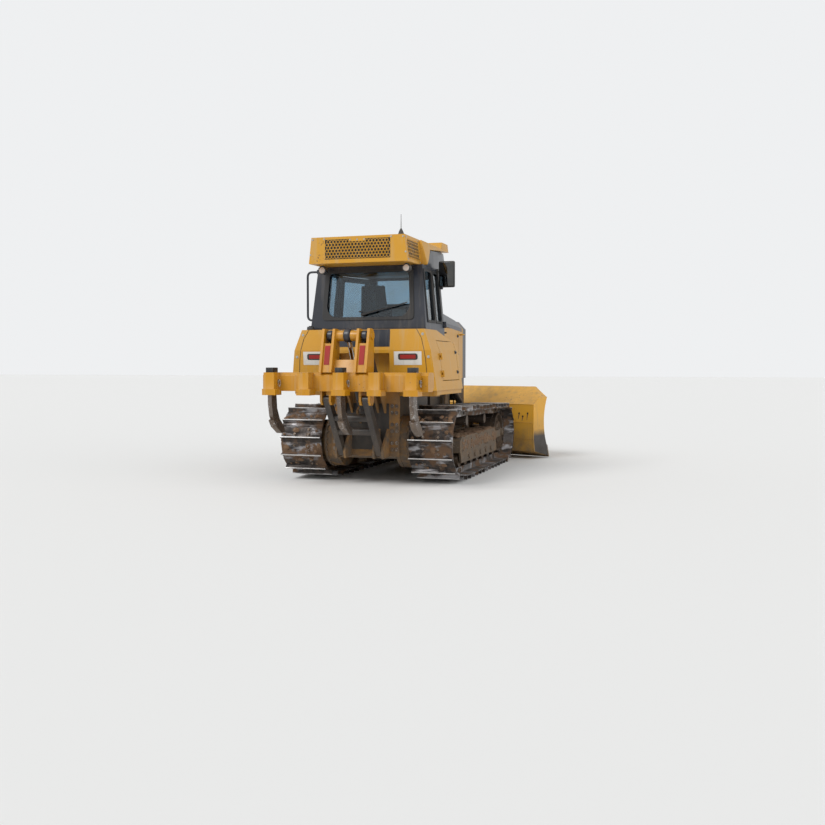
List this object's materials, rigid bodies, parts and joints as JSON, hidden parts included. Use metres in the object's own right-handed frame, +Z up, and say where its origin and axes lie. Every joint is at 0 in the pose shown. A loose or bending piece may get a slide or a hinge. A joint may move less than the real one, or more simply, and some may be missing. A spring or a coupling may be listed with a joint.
{
  "type": "crawler bulldozer with angling blade and rear ripper",
  "caption": "Yellow crawler bulldozer with an enclosed cab, an angled blade in front, a parallelogram ripper behind and opening doors.",
  "frame": {"origin": "on the ground, midway along the tracks and midway between them", "axes": "+X forward, +Y to the machine's left, +Z up"},
  "size_m": [6.5591, 3.2457, 3.79],
  "materials": {
    "yellow_paint": "satin",
    "dark_paint": "satin",
    "track_steel": "rough",
    "chrome": "polished",
    "glass": "clear",
    "seat_fabric": "matte",
    "black_plastic": "matte",
    "worn_steel": "worn",
    "cylinder_paint": "satin",
    "lamp": "gloss"
  },
  "bodies": {
    "root": {"main_frame": "yellow_paint", "drive_case": "yellow_paint", "final_drives": "yellow_paint", "engine_block": "cylinder_paint", "track_left": "track_steel", "track_right": "track_steel", "sprockets": "track_steel", "idlers": "track_steel", "track_frames": "yellow_paint", "track_rollers": "track_steel", "carrier_rollers": "track_steel", "rear_body": "yellow_paint", "hood": "yellow_paint", "radiator_guard": "dark_paint", "exhaust_stack": "dark_paint", "cab_shell": "dark_paint", "cab_glass": "glass", "roof_cap": "yellow_paint", "air_conditioner": "yellow_paint", "seat_cushion": "seat_fabric", "seat_base": "black_plastic", "controls": "black_plastic", "work_lamps": "lamp", "mirror_right": "black_plastic", "grab_rail": "dark_paint", "antenna": "black_plastic", "ripper_frame": "yellow_paint"},
    "c_frame": {"c_frame": "yellow_paint"},
    "blade_yoke": {"blade_yoke": "yellow_paint"},
    "blade": {"blade": "yellow_paint", "cutting_edge": "worn_steel"},
    "lift_barrels": {"lift_barrels": "cylinder_paint"},
    "lift_rods": {"lift_rods": "chrome"},
    "angle_barrel_left": {"angle_barrel_left": "cylinder_paint"},
    "angle_rod_left": {"angle_rod_left": "chrome"},
    "angle_barrel_right": {"angle_barrel_right": "cylinder_paint"},
    "angle_rod_right": {"angle_rod_right": "chrome"},
    "tilt_barrel": {"tilt_barrel": "cylinder_paint"},
    "tilt_rod": {"tilt_rod": "chrome"},
    "ripper_lower_links": {"ripper_lower_links": "dark_paint"},
    "ripper_upper_links": {"ripper_upper_links": "dark_paint"},
    "ripper_beam": {"ripper_beam": "yellow_paint", "ripper_shanks": "worn_steel"},
    "ripper_barrel": {"ripper_barrel": "cylinder_paint"},
    "ripper_rod": {"ripper_rod": "chrome"},
    "side_door_left": {"side_door_left": "yellow_paint"},
    "side_door_right": {"side_door_right": "yellow_paint"},
    "engine_door_left": {"engine_door_left": "yellow_paint"},
    "engine_door_right": {"engine_door_right": "yellow_paint"},
    "cab_door_left": {"cab_door_left": "dark_paint", "door_glass_left": "glass"},
    "cab_door_right": {"cab_door_right": "dark_paint", "door_glass_right": "glass"}
  },
  "joints": [
    {"name": "blade_lift", "type": "hinge", "parent": "root", "child": "c_frame", "pos_m": [0.4, 0, 0.5], "axis": [0, -1, 0], "range_deg": [-14, 25]},
    {"name": "blade_angle", "type": "hinge", "parent": "c_frame", "child": "blade_yoke", "pos_m": [2.43, 0, 0.5], "axis": [0, 0, 1], "range_deg": [-2, 42]},
    {"name": "blade_tilt", "type": "hinge", "parent": "blade_yoke", "child": "blade", "pos_m": [2.43, 0, 0.5], "axis": [0.9397, -0.342, 0], "range_deg": [-7, 7]},
    {"name": "lift_barrel_swing", "type": "hinge", "parent": "root", "child": "lift_barrels", "pos_m": [0.7, 0, 1.32], "axis": [0, -1, 0], "range_deg": [-15.36, 26.07]},
    {"name": "lift_rod_slide", "type": "slide", "parent": "lift_barrels", "child": "lift_rods", "axis": [0.8843, 0, -0.4669], "range_m": [-0.3942, 0.2318]},
    {"name": "angle_barrel_swing_left", "type": "hinge", "parent": "c_frame", "child": "angle_barrel_left", "pos_m": [1.57, 0.57, 0.7], "axis": [0, 0, 1], "range_deg": [-0.41, 2.66]},
    {"name": "angle_rod_slide_left", "type": "slide", "parent": "angle_barrel_left", "child": "angle_rod_left", "axis": [0.9999, -0.0126, 0], "range_m": [-0.4471, 0.0402]},
    {"name": "angle_barrel_swing_right", "type": "hinge", "parent": "c_frame", "child": "angle_barrel_right", "pos_m": [1.57, -0.57, 0.7], "axis": [0, 0, 1], "range_deg": [-0.3622, 0.2139]},
    {"name": "angle_rod_slide_right", "type": "slide", "parent": "angle_barrel_right", "child": "angle_rod_right", "axis": [1, -0.002, 0], "range_m": [-0.0409, 0.4545]},
    {"name": "tilt_barrel_swing", "type": "hinge", "parent": "blade_yoke", "child": "tilt_barrel", "pos_m": [2.43978, -0.16318, 0.858], "axis": [0.9397, -0.342, 0], "range_deg": [-5.87, 5.87]},
    {"name": "tilt_rod_slide", "type": "slide", "parent": "tilt_barrel", "child": "tilt_rod", "axis": [0.342, 0.9397, 0], "range_m": [-0.0492, 0.0492]},
    {"name": "ripper_lift", "type": "hinge", "parent": "root", "child": "ripper_lower_links", "pos_m": [-2.12, 0, 0.45], "axis": [0, 1, 0], "range_deg": [-80, 4]},
    {"name": "ripper_beam_level", "type": "hinge", "parent": "ripper_lower_links", "child": "ripper_beam", "pos_m": [-2.62, 0, 1.17], "axis": [0, 1, 0], "range_deg": [-7.56, 83.56]},
    {"name": "ripper_upper_swing", "type": "hinge", "parent": "root", "child": "ripper_upper_links", "pos_m": [-2.06, 0, 1.28], "axis": [0, 1, 0], "range_deg": [-83.56, 7.56]},
    {"name": "ripper_barrel_swing", "type": "hinge", "parent": "root", "child": "ripper_barrel", "pos_m": [-2.022, 0, 0.98], "axis": [0, 1, 0], "range_deg": [-67.89, 6.18]},
    {"name": "ripper_rod_slide", "type": "slide", "parent": "ripper_barrel", "child": "ripper_rod", "axis": [-0.4665, 0, 0.8845], "range_m": [-0.3086, 0.0291]},
    {"name": "side_door_left", "type": "hinge", "parent": "root", "child": "side_door_left", "pos_m": [-1.7, 1.04814, 1.4577], "axis": [0, -0.1286, 0.9917], "range_deg": [0, 110]},
    {"name": "side_door_right", "type": "hinge", "parent": "root", "child": "side_door_right", "pos_m": [-1.7, -1.04814, 1.4577], "axis": [0, -0.1286, -0.9917], "range_deg": [0, 110]},
    {"name": "cab_door_left", "type": "hinge", "parent": "root", "child": "cab_door_left", "pos_m": [-0.94567, 0.85712, 2.15], "axis": [-0.0332, -0.0937, 0.9951], "range_deg": [0, 110]},
    {"name": "cab_door_right", "type": "hinge", "parent": "root", "child": "cab_door_right", "pos_m": [-0.94567, -0.85712, 2.15], "axis": [0.0332, -0.0937, -0.9951], "range_deg": [0, 110]},
    {"name": "engine_door_left", "type": "hinge", "parent": "root", "child": "engine_door_left", "pos_m": [0.11073, 0.49859, 1.5], "axis": [0, 0, 1], "range_deg": [0, 110]},
    {"name": "engine_door_right", "type": "hinge", "parent": "root", "child": "engine_door_right", "pos_m": [0.11073, -0.49859, 1.5], "axis": [0, 0, -1], "range_deg": [0, 110]}
  ],
  "couplings": [
    {"joint": "lift_barrel_swing", "follows": "blade_lift", "ratio": 0.974},
    {"joint": "lift_rod_slide", "follows": "blade_lift", "m_per_rad": -0.84603},
    {"joint": "angle_barrel_swing_left", "follows": "blade_angle", "ratio": 0.05611},
    {"joint": "angle_rod_slide_left", "follows": "blade_angle", "m_per_rad": -0.58278},
    {"joint": "angle_barrel_swing_right", "follows": "blade_angle", "ratio": -0.00371},
    {"joint": "angle_rod_slide_right", "follows": "blade_angle", "m_per_rad": 0.59249},
    {"joint": "tilt_barrel_swing", "follows": "blade_tilt", "ratio": 0.74997},
    {"joint": "tilt_rod_slide", "follows": "blade_tilt", "m_per_rad": -0.35787},
    {"joint": "ripper_beam_level", "follows": "ripper_lift", "ratio": -1},
    {"joint": "ripper_upper_swing", "follows": "ripper_lift", "ratio": 1},
    {"joint": "ripper_barrel_swing", "follows": "ripper_lift", "ratio": 0.81202},
    {"joint": "ripper_rod_slide", "follows": "ripper_lift", "m_per_rad": 0.21075}
  ]
}
